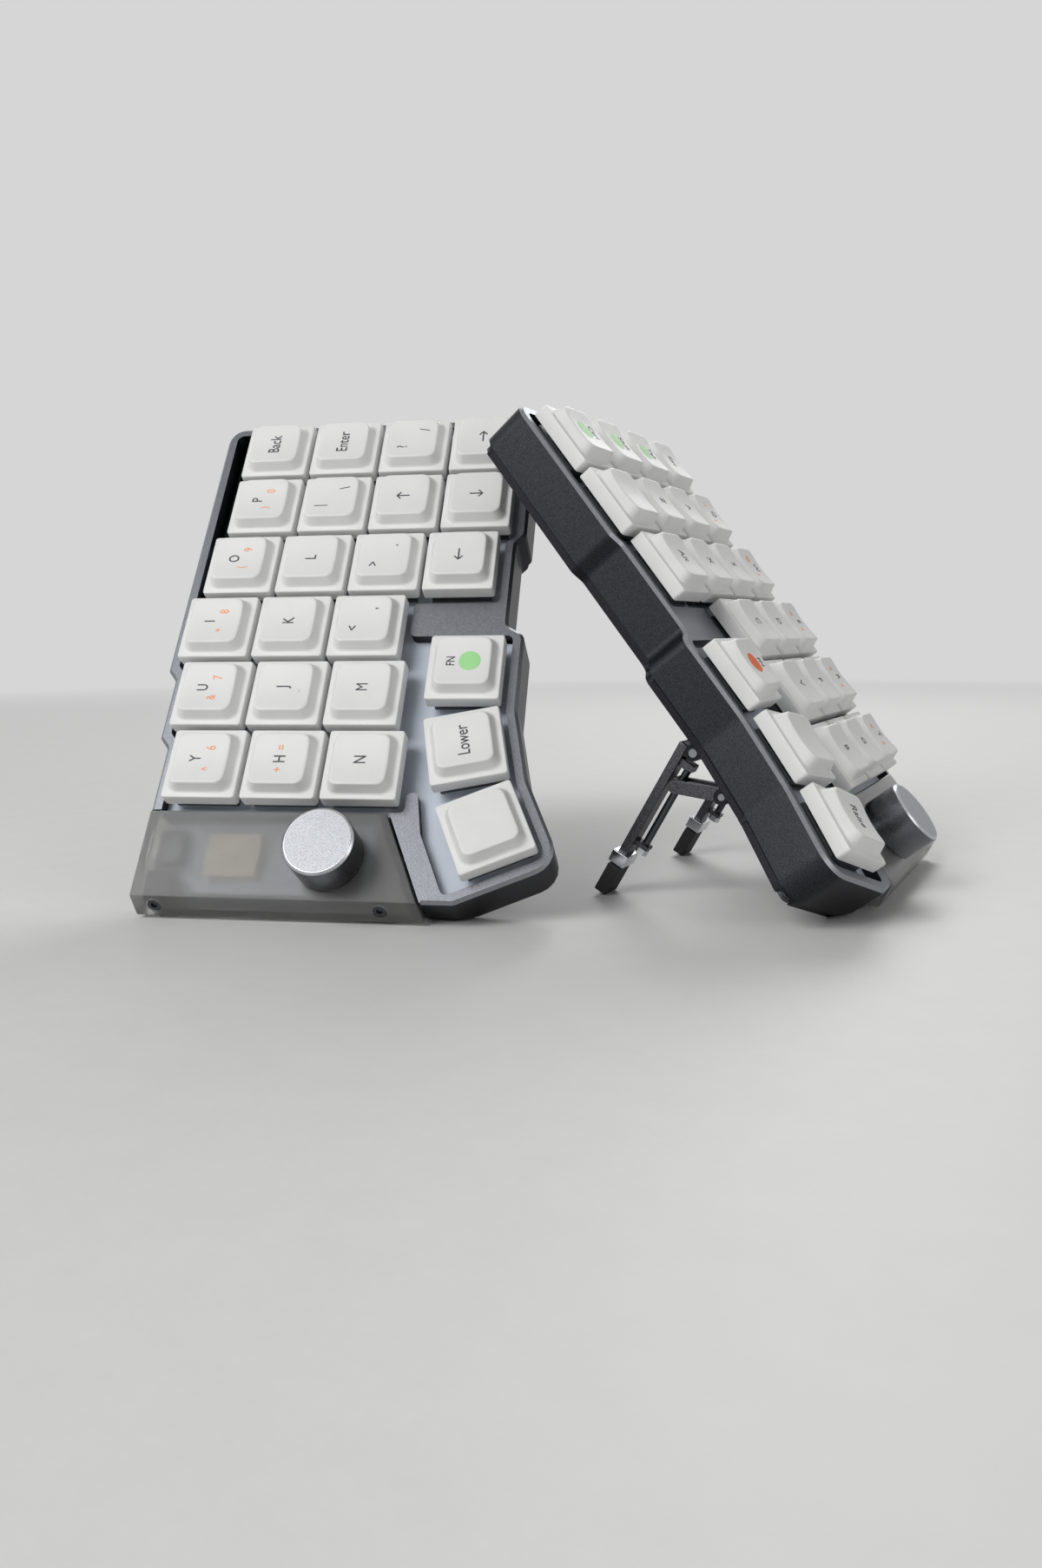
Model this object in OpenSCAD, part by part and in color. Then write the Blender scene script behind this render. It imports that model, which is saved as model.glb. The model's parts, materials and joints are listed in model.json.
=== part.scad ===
// Split keyboard: two mirrored halves that stand on their inner edges,
// each propped up by two fold-out legs.
// A half is drawn lying flat: X runs outwards, Y to the rear, Z up,
// with its origin under the innermost rear key. Sizes are in millimetres.

/* [Key field] */
// Gap between the caps of two columns
gap_x = 1.35; // [1:0.05:1.7]
// Gap between two caps of a column
gap_y = 1.1; // [0.8:0.05:1.5]
// Rearward shift of each column, from the inner one outwards
stagger = [0, 2.4, 4.75, 2.4, 0, 0]; // [0:0.05:5]
// Outward shift of the first thumb key from the second column
thumb_shift = 6.95; // [6:0.05:8]
// Gap between the second column's last cap and the first thumb cap
thumb_drop = 5.4; // [5:0.1:6.5]
// Radius of the arc that the thumb keys follow
thumb_arc = 100.5; // [96:0.5:106]
// Gap between two thumb caps
thumb_gap = 1.5656; // [1.3:0.0001:2.2]

/* [Key caps] */
// Width of a cap's square lower tier
flange_w = 17.7; // [17.3:0.1:17.9]
// Height of the lower tier
skirt_h = 3.4; // [3.2:0.1:3.8]
// Height of the raised upper tier
crown_h = 2.9; // [2.6:0.1:3.3]
// Inset of the upper tier at its foot
crown_foot = 1.4; // [1.2:0.1:1.7]
// Inset of the upper tier at its top
crown_top = 2.5; // [2.2:0.1:2.8]
// Corner radius of the upper tier
crown_r = 2.2; // [1.6:0.1:2.8]
// Depth of the hollow across a cap's top
scoop = 0.65; // [0.4:0.05:0.75]
// Wall of a cap
cap_wall = 1.15; // [1:0.05:1.2]
// Travel of a key
key_travel = 3; // [2.6:0.1:3.2]

/* [Case] */
// Gap between a cap and the frame's opening
rim_gap = 1.1; // [1:0.05:1.3]
// Width of the frame's rim
rim_w = 2.6; // [2.4:0.05:2.9]
// Thickness of the case walls
wall_t = 1.6; // [1.4:0.1:1.7]
// Thickness of the frame's top
frame_t = 2.8; // [2.4:0.1:3.2]
// Radius of the outer corners
corner_r = 4.5; // [3.6:0.1:5.5]
// Gap in front of the divider, at the last thumb key
divider_gap = 5; // [4.6:0.1:5.3]
// Width of the divider between thumb keys and end cover
divider_w = 5; // [4.7:0.1:5.3]
// Tip of the short finger beside the inner column
finger_tip = -4.9; // [-5.4:0.1:-4.4]

/* [Boards] */
// Thickness of the switch plate
plate_t = 1.2; // [1:0.1:1.5]
// Depth of a switch below the plate's top
switch_depth = 3.4; // [3.2:0.1:3.8]
// Thickness of the main board
board_t = 1.6; // [1.2:0.1:1.7]
// Room for the battery under the main board
battery_room = 3.3; // [3.2:0.1:3.8]
// Battery thickness
battery_t = 3; // [2.4:0.1:3.1]

/* [Bottom plate] */
// Thickness of the bottom plate
slab_t = 1.8; // [1.6:0.1:2.2]
// Height of the step that makes the shadow groove
lip_h = 0.6; // [0.5:0.05:0.8]
// Inset of the plate behind the case walls
slab_inset = 1.2; // [1.1:0.05:1.3]

/* [End cover] */
// Inner end of the cover's top
cover_end = 31.3; // [30.9:0.1:31.7]
// How far the sloped end reaches past the top
cover_nose = 2.5; // [2.2:0.1:2.8]
// Height of the sloped end
cover_slope_h = 5.3; // [4.9:0.1:5.7]
// Wall of the frosted cover
cover_t = 1.8; // [1.7:0.05:1.9]
// Shadow gap round the cover
cover_gap = 0.6; // [0.4:0.05:0.8]

/* [Knob] */
// Knob diameter
knob_d = 16; // [14:0.5:17]
// Knob height
knob_h = 8.9; // [8:0.1:10]
// Place of the knob inwards of the first column
knob_x = -21.3; // [-21.8:0.1:-20.8]
// Place of the knob along the cover
knob_y = -32.2; // [-33:0.1:-31]
// Encoder shaft diameter
shaft_d = 6; // [5:0.1:6.2]
// Push travel of the knob
push_travel = 0.5; // [0.3:0.05:0.55]

/* [Standing] */
// Lean of the right half from lying flat
tilt_right = 55.14; // [54.5:0.1:56.5]
// Lean of the left half from lying flat
tilt_left = 52.08; // [51.5:0.1:53.5]
// Turn of the left half against the right one
turn_left = 70.53; // [65:0.5:76]
// Distance from the first column to the standing edge
stand_x = 29; // [28.8:0.1:29.2]
// Place of the right half on the table
right_at = [-79.82, -29.66]; // [-100:0.01:100]
// Place of the left half on the table, before it is set against the right one
left_at = [64.77, 28.02]; // [-100:0.01:100]
// Gap where the two halves pass each other
halves_gap = 0.394; // [0.3:0.001:0.9]

/* [Legs] */
// Hinge of the legs, outwards of the first column
hinge_x = 17.5; // [17:0.1:18]
// Depth of the hinge under the plate
hinge_drop = 2.2; // [2.1:0.05:2.4]
// Distance of the rear leg from the first key row
leg_rear = 9; // [8:0.5:10]
// Distance of the front leg from the first thumb key
leg_front = 3.7; // [2:0.1:4]
// Length of a leg from its hinge
leg_len = 41.6; // [40.8:0.1:42.5]
// Offset of the arm from the guide rod
arm_off = 3.3; // [3.2:0.05:3.5]
// Length of a strut, and distance of its pivot from the hinge
strut_len = 12; // [11.8:0.1:12.1]
// Guide rod diameter
rod_d = 1.8; // [1.6:0.1:1.9]

/* [Hidden] */
$fn = 48;
COLUMNS = [0, 1, 2, 3, 4, 5];
THUMBS = [0, 1, 2];
rows = [3, 3, 3, 4, 4, 4];
PIECES = ["case", "bottom_plate", "switch_plate", "switches", "main_board",
    "controller_board", "battery", "end_cover", "screws", "encoder",
    "encoder_shaft", "knob", "charging_port", "power_switch",
    "column_1_keys", "column_2_keys", "column_3_keys",
    "column_4_keys", "column_5_keys", "column_6_keys",
    "thumb_key_1", "thumb_key_2", "thumb_key_3",
    "legs", "leg_rods", "leg_struts", "leg_sliders",
    "leg_feet", "leg_collars", "leg_pins"];

// Clearances
slip = 0.05;
fit = 0.2;
free = 0.3;

// Heights above the underside of the bottom plate
floor_z = slab_t + lip_h;
board_z = floor_z + battery_room;
board_top = board_z + board_t;
plate_top = board_top + switch_depth;
top_z = plate_top + frame_t;
skirt_z = plate_top + key_travel + 0.6;
flange_z = skirt_z + skirt_h;
cap_top = flange_z + crown_h;

// Switch housing
housing_w = 13.8;
housing_brim = 15;
brim_t = 0.8;
housing_top = plate_top + 2.5;
stem_w = 5;
well_z = board_top + 0.5;
stem_z = well_z + key_travel + fit;

// Key places
hf = flange_w / 2;
pitch_x = flange_w + gap_x;
pitch_y = flange_w + gap_y;
thumb_x = col_x(1) + thumb_shift;
thumb_y = front(1) - thumb_drop - hf;
thumb_step = 2 * atan((flange_w + thumb_gap) / (2 * (thumb_arc - hf)));

// Margins of the case outside the caps
scoop_r = (pow(hf - crown_top, 2) + scoop * scoop) / (2 * scoop);
margin = rim_gap + rim_w;
inner_margin = margin - wall_t;
slab_margin = margin - slab_inset;
lip_margin = margin - wall_t / 2;
cut_x = -hf - rim_gap;
thumb_side = thumb_x + hf + rim_gap + 1.5;
notch = 1.4;
last = len(THUMBS) - 1;
fan = last * thumb_step;

// End cover heights and edges
lean = 90 - tilt_right;
nose_z = top_z - cover_slope_h;
nose_x = -cover_end - cover_nose;
slope_a = atan2(-cover_slope_h, -cover_nose);
cover_lift = height_over_table([nose_x, nose_z]);
cover_x = cut_x - fit;
cover_rear = hf + margin;
post_x = -24.4;
post_w = 6;
post_y = [cover_rear - cover_t - fit - post_w / 2, -44.4];
cover_screw_r = 1;
cover_head_r = 1.5;
cover_bite = 5;

// Controller board
tray_z = floor_z + 1.8;
tray_t = 1.2;
tray_top = tray_z + tray_t;
tray_posts = [[-21.5, 1.5], [-7, 7], [-24, -36], [-7, -33]];
tray_from = [-27.4, -39.5];
tray_to = [-4, cover_rear - cover_t - 0.55];
tray_step = [4.4, 3.5];
battery_from = [22, -33];
battery_to = [72, 1];
battery_r = 2;
module_size = [10.5, 12.5, 2.4];
module_at = [-24, -13.5];
encoder_w = 12;
encoder_h = 5.8;
bush_d = 7;
knob_z = top_z + push_travel + 0.1;
knob_top = knob_z + knob_h;
shaft_z = tray_top + 1.5;

// Charging port and power switch
port_x = -17.5;
port_w = 8.9;
port_h = 3.2;
port_wall = 0.3;
port_len = 7.3;
power_x = 0.5;
power_w = 3;
power_h = 1.6;
power_travel = 2;
power_z = board_z - free - power_h;

// Case screws
boss_r = 2.4;
boss_h = 2.8;
screw_r = 1;
head_r = 1.9;
head_t = 0.8;

// Leg parts
leg_rows = [leg_rear, leg_front - thumb_y];
arm_t = 2.3;
arm_w = 5;
eye_r = 1.9;
eye_w = 4;
lug_t = 1.6;
pin_r = 1;
stub_r = 0.8;
fork_t = 1.4;
fork_r = 1.6;
slider_h = 1.5;
rod_stop = 2;
nut_from = 27.1;
nut_t = 1.5;
collar_from = 30.2;
foot_from = 33.8;
arm_to = 36;
foot_t = 3.3;
foot_w = 7;
rod_from = min(3, slider_at(tilt_left) - slider_h - rod_stop - free);

// Geometry helpers
function unit(v) = v / norm(v);
function aim(a) = [cos(a), sin(a)];
function side(a) = [-sin(a), cos(a)];

// Crossing of the line through p at angle a with the line through q at angle b
function meet(p, a, q, b) = p + aim(a) * cross(q - p, aim(b)) / cross(aim(a), aim(b));

// Points of the arc of radius r that rounds corner b of the path a, b, c
function bend(a, b, c, r, n) = r == 0 ? [b] :
    let (u = unit(a - b), v = unit(c - b), h = acos(u * v) / 2)
    let (m = b + unit(u + v) * r / sin(h), s = b + u * r / tan(h) - m)
    let (from = atan2(s[1], s[0]), turn = -sign(cross(u, v)) * (180 - 2 * h))
    [for (i = [0:n]) m + r * aim(from + turn * i / n)];
function flat(p) = [p[0], p[1]];
function rounded(p, n = 5) = [for (i = [0:len(p) - 1])
    each bend(flat(p[(i + len(p) - 1) % len(p)]), flat(p[i]),
        flat(p[(i + 1) % len(p)]), p[i][2], n)];
function corner(p, r) = [p[0], p[1], r];

// Key places and the edges of the key field
function col_x(c) = c * pitch_x;
function rear(c) = stagger[c] + hf;
function front(c) = stagger[c] - (rows[c] - 1) * pitch_y - hf;
function thumb_at(k) = [thumb_x - thumb_arc * sin(k * thumb_step),
    thumb_y - thumb_arc * (1 - cos(k * thumb_step))];
function thumb_front(k, o) = thumb_at(k) - (hf + o) * side(k * thumb_step);
function fan_side(o) = thumb_at(last) - (hf + o) * aim(fan);
function divider(d) = thumb_at(last) + (hf + divider_gap + d) * side(fan);
function seam(c, o) = col_x(c) - pitch_x / 2 - o / 2;

// Corners shared by the outline and the opening, at a distance o from the caps
function rear_run(o, r) = [
    [seam(1, o) - notch, rear(0) + o, 1.5],
    [seam(1, o) + notch, rear(1) + o, 1.5],
    [seam(2, o) - notch, rear(1) + o, 1.5],
    [seam(2, o) + notch, rear(2) + o, 1.5],
    [col_x(5) + hf + o, rear(2) + o, r],
    [col_x(5) + hf + o, front(5) - o, r],
    [seam(4, 0) + notch, front(4) - o, 2],
    [seam(4, 0) - notch, front(3) - o, 2]];
function thumb_run(o, r) = [
    corner(meet(thumb_front(0, o), 0, thumb_front(1, o), thumb_step), 8),
    corner(meet(thumb_front(1, o), thumb_step, thumb_front(2, o), fan), 8),
    corner(meet(thumb_front(2, o), fan, fan_side(o), fan + 90), r)];
function notch_run(o) = [
    [thumb_x + hf + o + 2, front(3) - o, 2.4],
    [thumb_x + hf + o - 0.6, thumb_front(0, o)[1], 3]];
function wall_line(o) = divider(divider_w + o - margin);

// Outline of the case, open to the end cover along x = cx
function case_outline(o, cx) = let (ex = margin - cover_end - o) rounded(concat(
    [[cx, rear(0) + o, 0]],
    rear_run(o, corner_r + o - margin), notch_run(o), thumb_run(o, 6 + o - margin),
    [corner(meet(fan_side(o), fan + 90, [ex, 0], 90), 2),
     corner(meet([ex, 0], 90, wall_line(o), fan), 0.5),
     corner(meet(wall_line(o), fan, [cx, 0], 90), 0)]));

// Outline of the whole half, with the end cover
function base_outline(o) = let (ex = nose_x) rounded(concat(
    [[ex, rear(0) + o, 0]],
    rear_run(o, corner_r + o - margin), notch_run(o), thumb_run(o, 6 + o - margin),
    [corner(meet(fan_side(o), fan + 90, [ex, 0], 90), 0)]));

// Opening of the frame, one hole round all keys
function opening() = let (o = rim_gap, yd = meet(wall_line(margin), fan, [cut_x, 0], 90)[1])
    let (tip_r = yd - 5.9, tip_l = yd - 3.35, out = cut_x - 3)
    rounded(concat(
    [[out, rear(0) + o, 0]],
    rear_run(o, corner_r - rim_w),
    [[col_x(3) - hf - o, front(3) - o, 1.4],
     [col_x(3) - hf - o, front(2) - o, 1],
     [thumb_side, front(2) - o, 1.5],
     [thumb_side, thumb_front(0, o)[1], 1.5]],
    thumb_run(o, 2.6),
    [corner(meet(fan_side(o), fan + 90, divider(0), fan), 1.5),
     corner(meet(divider(0), fan, [finger_tip, tip_r], 10), 2),
     [finger_tip, tip_r, 1.2],
     [finger_tip, tip_l, 1.2],
     [cut_x, tip_l, 1.2],
     [cut_x, yd + 0.4, 0],
     [out, yd + 0.4, 0]]));

// Heights over the table when a half stands on its inner edge
function height_over_table(p, t = tilt_right) = (p[0] + stand_x) * sin(t) + p[1] * cos(t);

// Angle of a leg that lets its foot meet the table
function leg_angle(t) = let (b = arm_off - foot_t / 2)
    let (h = height_over_table([hinge_x, -hinge_drop], t))
    180 - asin(h / norm([leg_len, b])) - atan(b / leg_len) - t;

// Place of a slider on its rod, from the hinge
function slider_at(t) = 2 * strut_len * cos(leg_angle(t));

// A point of a half after it leans by t, and after a turn by a on the table
function stood(p, t) = [-p[1], p[0] * cos(t) - p[2] * sin(t), p[0] * sin(t) + p[2] * cos(t)];
function turned(p, a) = [p[0] * cos(a) - p[1] * sin(a), p[0] * sin(a) + p[1] * cos(a), p[2]];

// Left plate's outer edge, set at its gap from the right frame's front edge
right_edge = [right_at[0], right_at[1], stand_x * sin(tilt_right)]
    + stood([0, front(5) - margin, top_z], tilt_right);
left_edge = [left_at[0], left_at[1], stand_x * sin(tilt_left)]
    + turned(stood([col_x(5) + hf + slab_margin, 0, 0], tilt_left), turn_left);
across = unit(cross(turned([1, 0, 0], turn_left), stood([1, 0, 0], tilt_right)));
left_move = (halves_gap - (left_edge - right_edge) * across) / norm(flat(across));
left_place = left_at + unit(flat(across)) * left_move;

// Placing
module on_right() translate([right_at[0], right_at[1], stand_x * sin(tilt_right)])
    rotate([tilt_right, 0, 0]) rotate(90) children();
module on_left() translate([left_place[0], left_place[1], stand_x * sin(tilt_left)])
    rotate(turn_left) rotate([tilt_left, 0, 0]) rotate(90) mirror([0, 1, 0]) children();
module at_column(c) for (r = [0:rows[c] - 1])
    translate([col_x(c), stagger[c] - r * pitch_y, 0]) children();
module at_thumb(k) translate(thumb_at(k)) rotate(k * thumb_step) children();
module at_keys() {
    for (c = COLUMNS) at_column(c) children();
    for (k = THUMBS) at_thumb(k) children();
}
module block(w, d, z0, z1) translate([-w / 2, -d / 2, z0]) cube([w, d, z1 - z0]);
module slab(points, z0, z1) translate([0, 0, z0]) linear_extrude(z1 - z0) polygon(points);
module along_y(y0, y1) translate([0, y1, 0]) rotate([90, 0, 0]) linear_extrude(y1 - y0) children();
module bar_y(r, y0, y1) translate([0, y1, 0]) rotate([90, 0, 0]) cylinder(r = r, h = y1 - y0);

// All space that is less than h over the table
module below_table(h) translate([h / cos(lean) - stand_x, 0, 0]) rotate([0, -lean, 0])
    translate([-40, -150, -60]) cube([40, 300, 120]);

// Case frame
function case_screws() = [
    [col_x(5) + hf + inner_margin - 2, rear(2) + inner_margin - 2],
    [col_x(5) + hf + inner_margin - 2, front(5) - inner_margin + 2],
    [48, front(3) - inner_margin + 2],
    meet(thumb_front(last, 0), fan, fan_side(0), fan + 90),
    [14, rear(1) + inner_margin - 2]];
module case_frame() color([0.2, 0.2, 0.21]) difference() {
    union() {
        difference() {
            slab(case_outline(margin, cut_x), floor_z, top_z);
            slab(case_outline(inner_margin, cut_x - 3), floor_z - 1, plate_top);
            slab(opening(), plate_top - 1, top_z + 1);
        }
        intersection() {
            for (p = case_screws()) translate([p[0], p[1], floor_z]) cylinder(r = boss_r, h = boss_h);
            slab(case_outline(margin - 0.4, cut_x), floor_z, top_z);
        }
    }
    for (p = case_screws()) translate([p[0], p[1], floor_z - 1])
        cylinder(r = screw_r + slip, h = boss_h + 0.8);
    translate([power_x + power_travel / 2, hf + margin, 0])
        block(power_w + power_travel + 2 * fit, 3 * wall_t, power_z - fit, power_z + power_h + fit);
    below_table(cover_lift);
}

// Bottom plate with hinge lugs, board posts and cover posts
module lug(x, y0, y1, r, bore) translate([x, 0, -hinge_drop]) difference() {
    union() {
        translate([-r, y0, 0]) cube([2 * r, y1 - y0, hinge_drop + slab_t / 2]);
        bar_y(r, y0, y1);
    }
    bar_y(bore, y0 - 1, y1 + 1);
}
module cover_post(y) difference() {
    translate([0, y, 0]) intersection() {
        along_y(-post_w / 2, post_w / 2) polygon(cover_section(cover_t + fit, floor_z - free, post_x));
        translate([nose_x, -post_w, floor_z - free]) cube([post_x - nose_x, 2 * post_w, 20]);
    }
    on_slope(y) translate([0, 0, -cover_t - cover_bite])
        cylinder(r = cover_screw_r + slip, h = cover_bite + 1);
}
module bottom_plate() color([0.13, 0.13, 0.14]) {
    difference() {
        union() {
            difference() {
                slab(base_outline(slab_margin), 0, slab_t);
                below_table(0);
            }
            difference() {
                slab(base_outline(lip_margin), slab_t, floor_z);
                below_table(cover_lift + 0.8);
            }
        }
        for (p = case_screws()) translate([p[0], p[1], 0]) {
            translate([0, 0, -1]) cylinder(r = screw_r + fit, h = 2 * floor_z);
            translate([0, 0, -1]) cylinder(r = head_r + fit, h = head_t + fit + 1);
        }
    }
    for (y = leg_rows) translate([0, -y, 0]) for (s = [0, 1]) mirror([0, s, 0]) {
        lug(hinge_x, eye_w / 2 + fit, eye_w / 2 + fit + lug_t, eye_r, pin_r + slip);
        lug(hinge_x - strut_len, fork_out() + fit, fork_out() + fit + lug_t, eye_r, stub_r + slip);
    }
    for (p = tray_posts) translate([p[0], p[1], slab_t]) cylinder(r = 1.6, h = tray_z - slab_t);
    for (y = post_y) cover_post(y);
}

// Switch plate and main board
module key_field(o, z0, z1) {
    x0 = max(-hf - o, cut_x + fit);
    for (c = COLUMNS) slab([[max(col_x(c) - hf - o, x0), front(c) - o], [col_x(c) + hf + o, front(c) - o],
        [col_x(c) + hf + o, rear(c) + o], [max(col_x(c) - hf - o, x0), rear(c) + o]], z0, z1);
    for (k = THUMBS) at_thumb(k) block(flange_w + 2 * o, flange_w + 2 * o, z0, z1);
    slab([[x0, front(0) + 4], [col_x(2) + hf, front(2) + 4],
        [thumb_side + o - rim_gap, front(2) + 1], [thumb_side + o - rim_gap, thumb_y],
        thumb_at(1), thumb_at(2), fan_side(o),
        meet(fan_side(o), fan + 90, divider(o - rim_gap), fan),
        meet(divider(o - rim_gap), fan, [x0, 0], 90)], z0, z1);
}
module switch_plate() color([0.86, 0.88, 0.9]) difference() {
    intersection() {
        key_field(inner_margin - 0.1, plate_top - plate_t, plate_top);
        slab(case_outline(inner_margin - 0.1, cut_x + fit), board_top, top_z);
    }
    at_keys() block(housing_w + 2 * fit, housing_w + 2 * fit, 0, top_z);
}
module main_board() color([0.08, 0.1, 0.09])
    slab(case_outline(inner_margin - 0.5, cut_x + fit), board_z, board_top);
module switches() color([0.25, 0.26, 0.28]) at_keys() difference() {
    union() {
        block(housing_w, housing_w, board_top, housing_top);
        block(housing_brim, housing_brim, plate_top, plate_top + brim_t);
    }
    block(stem_w + 2 * fit, stem_w + 2 * fit, well_z, top_z);
}

// Key caps
function square_points(h, r, n) = rounded([[-h, -h, r], [-h, h, r], [h, h, r], [h, -h, r]], n);
module crown_wedge() along_y(-hf, hf) polygon([[crown_foot - hf, -0.5], [hf - crown_foot, -0.5],
    [hf - crown_foot, 0], [hf - crown_top, crown_h], [crown_top - hf, crown_h], [crown_foot - hf, 0]]);
module key_cap() {
    room = flange_w - 2 * cap_wall;
    dome = flange_w - 2 * (crown_top + cap_wall);
    difference() {
        union() {
            slab(square_points(hf, 0.9, 2), skirt_z, flange_z);
            translate([0, 0, flange_z]) intersection() {
                crown_wedge();
                rotate(90) crown_wedge();
                slab(square_points(hf - crown_foot, crown_r, 3), -0.5, crown_h);
            }
        }
        block(room, room, skirt_z - 1, housing_top + key_travel + fit);
        block(dome, dome, skirt_z, cap_top - 1.4);
        translate([0, 0, cap_top - scoop + scoop_r]) bar_y(scoop_r, -flange_w, flange_w);
    }
    block(stem_w, stem_w, stem_z, cap_top - 1.2);
}
module column_keys(c) color([0.9, 0.9, 0.88]) at_column(c) key_cap();
module thumb_key(k) color([0.9, 0.9, 0.88]) at_thumb(k) key_cap();

// Frosted end cover
function cover_section(t, z, x) = let (top = [0, top_z - t],
    slope = [-cover_end, top_z] + t * side(slope_a),
    under = [nose_x, nose_z] + t * side(lean - 90))
    let (base = meet(under, lean - 90, [0, z], 0))
    [[x, z], [x, top_z - t], meet(top, 0, slope, slope_a), meet(slope, slope_a, under, lean - 90), base];
module on_slope(y) translate([-cover_end - cover_nose / 2, y, top_z - cover_slope_h / 2])
    rotate([0, 180 - slope_a, 0]) children();
module cover_plan(t) {
    d = divider(divider_w + cover_gap + t);
    x = t == 0 ? cover_x : cover_x + 2;
    polygon([[x, cover_rear - t], meet([x, 0], 90, d, fan), meet([nose_x - 5, 0], 90, d, fan),
        [nose_x - 5, cover_rear - t]]);
}
module end_cover() color([0.6, 0.62, 0.64, 0.6]) difference() {
    intersection() {
        along_y(-90, 40) polygon(cover_section(0, floor_z, cover_x));
        linear_extrude(40) cover_plan(0);
    }
    intersection() {
        along_y(-90, 40) polygon(cover_section(cover_t, floor_z - 1, cover_x + 2));
        linear_extrude(40) cover_plan(cover_t);
    }
    translate([knob_x, knob_y, top_z - 2 * cover_t]) cylinder(d = bush_d + 2 * free, h = 3 * cover_t);
    for (y = post_y) on_slope(y) {
        translate([0, 0, -2 * cover_t]) cylinder(r = cover_screw_r + fit, h = 3 * cover_t);
        translate([0, 0, -1]) cylinder(r = cover_head_r + fit, h = 3);
    }
    translate([0, cover_rear, 0]) port_shape(port_w + 2 * fit, port_h + 2 * fit, -3 * cover_t, 1);
}

// Screws
module screw(head, shank, t, len) {
    cylinder(r = head, h = t);
    cylinder(r = shank, h = t + len);
}
module screws() color([0.7, 0.7, 0.72]) {
    for (p = case_screws()) translate([p[0], p[1], fit])
        screw(head_r, screw_r, head_t, floor_z + boss_h - head_t - 3 * fit);
    for (y = post_y) on_slope(y) translate([0, 0, head_t - 1]) mirror([0, 0, 1])
        screw(cover_head_r, cover_screw_r, head_t, cover_t + cover_bite - 1.4);
}

// Controller board, battery, encoder, charging port and power switch
module controller_board() color([0.12, 0.2, 0.16]) {
    difference() {
        slab([tray_from, [tray_from[0], tray_step[0]], [post_x + 2 * fit, tray_step[0]],
            [post_x + 2 * fit, tray_to[1]], tray_to, [tray_to[0], tray_from[1] + tray_step[1]],
            [cover_x + 1.15, tray_from[1]]], tray_z, tray_top);
        for (p = tray_posts) translate([p[0], p[1], 0]) cylinder(r = 0.6, h = 20);
    }
    translate([module_at[0], module_at[1], tray_top - 0.2]) cube(module_size + [0, 0, 0.2]);
}
module battery() color([0.75, 0.76, 0.78])
    slab(rounded([corner(battery_from, battery_r), [battery_from[0], battery_to[1], battery_r],
        corner(battery_to, battery_r), [battery_to[0], battery_from[1], battery_r]], 4),
        floor_z, floor_z + battery_t);
module encoder() color([0.5, 0.5, 0.52]) translate([knob_x, knob_y, 0]) difference() {
    union() {
        block(encoder_w, encoder_w, tray_top, tray_top + encoder_h);
        translate([0, 0, tray_top]) cylinder(d = bush_d, h = top_z + 0.7 - tray_top);
    }
    translate([0, 0, shaft_z - 0.7]) cylinder(d = shaft_d + 2 * slip, h = 20);
}
module encoder_shaft() color([0.75, 0.75, 0.77]) translate([knob_x, knob_y, shaft_z])
    cylinder(d = shaft_d, h = knob_top - 1.5 - shaft_z);
module knob() color([0.7, 0.7, 0.71]) translate([knob_x, knob_y, 0]) rotate_extrude() polygon([
    [0, knob_top - 1.4], [shaft_d / 2 + slip, knob_top - 1.4], [shaft_d / 2 + slip, knob_z + 2.1],
    [bush_d / 2 + 1, knob_z + 2.1], [bush_d / 2 + 1, knob_z], [knob_d / 2, knob_z],
    [knob_d / 2, knob_top - 0.6], [knob_d / 2 - 0.6, knob_top], [0, knob_top]]);
module port_shape(w, h, y0, y1) translate([port_x, 0, tray_top + port_h / 2]) {
    translate([(h - w) / 2, y0, -h / 2]) cube([w - h, y1 - y0, h]);
    for (s = [-1, 1]) translate([s * (w - h) / 2, 0, 0]) bar_y(h / 2, y0, y1);
}
module charging_port() color([0.72, 0.72, 0.74]) translate([0, cover_rear - fit, 0]) {
    difference() {
        port_shape(port_w, port_h, -port_len, 0);
        port_shape(port_w - 2 * port_wall, port_h - 2 * port_wall, 1 - port_len, 1);
    }
    translate([port_x, 0.5 - port_len, tray_top + port_h / 2]) translate([-3.3, 0, -0.35])
        cube([6.6, port_len - 1.4, 0.7]);
}
module power_switch() color([0.1, 0.1, 0.1]) translate([power_x, hf + margin, 0])
    translate([0, -2, 0]) block(power_w, 6, power_z, power_z + power_h);

// Legs, drawn along their own arm from the hinge
function fork_at() = eye_w / 2 + fit;
function fork_out() = fork_at() + fork_t;
module on_leg(t) for (y = leg_rows) translate([hinge_x, -y, -hinge_drop])
    rotate([0, 180 - leg_angle(t), 0]) children();
module span(x0, x1, w, z0, z1) translate([x0, -w / 2, z0]) cube([x1 - x0, w, z1 - z0]);
module rod_line(r, x0, x1) translate([x0, 0, 0]) rotate([0, 90, 0]) cylinder(r = r, h = x1 - x0);
module legs(t) color([0.2, 0.2, 0.21]) on_leg(t) difference() {
    union() {
        bar_y(eye_r, -eye_w / 2, eye_w / 2);
        span(-eye_r + 0.3, eye_r - 0.3, eye_w, 0, arm_off);
        span(-0.4, arm_to, arm_w, arm_off - arm_t / 2, arm_off + arm_t / 2);
        span(rod_from, rod_from + rod_stop, 3.2, -1.4, arm_off);
        span(nut_from - 1.2, nut_from, 3.2, -1.4, arm_off);
    }
    bar_y(pin_r + slip, -eye_w, eye_w);
    rod_line(rod_d / 2 + slip, rod_from - 1, nut_from + 1);
}
module leg_rods(t) color([0.6, 0.6, 0.62]) on_leg(t) {
    rod_line(rod_d / 2, rod_from, nut_from + nut_t);
    translate([nut_from, 0, 0]) rotate([0, 90, 0]) cylinder(r = 1.6, h = nut_t, $fn = 6);
}
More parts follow.
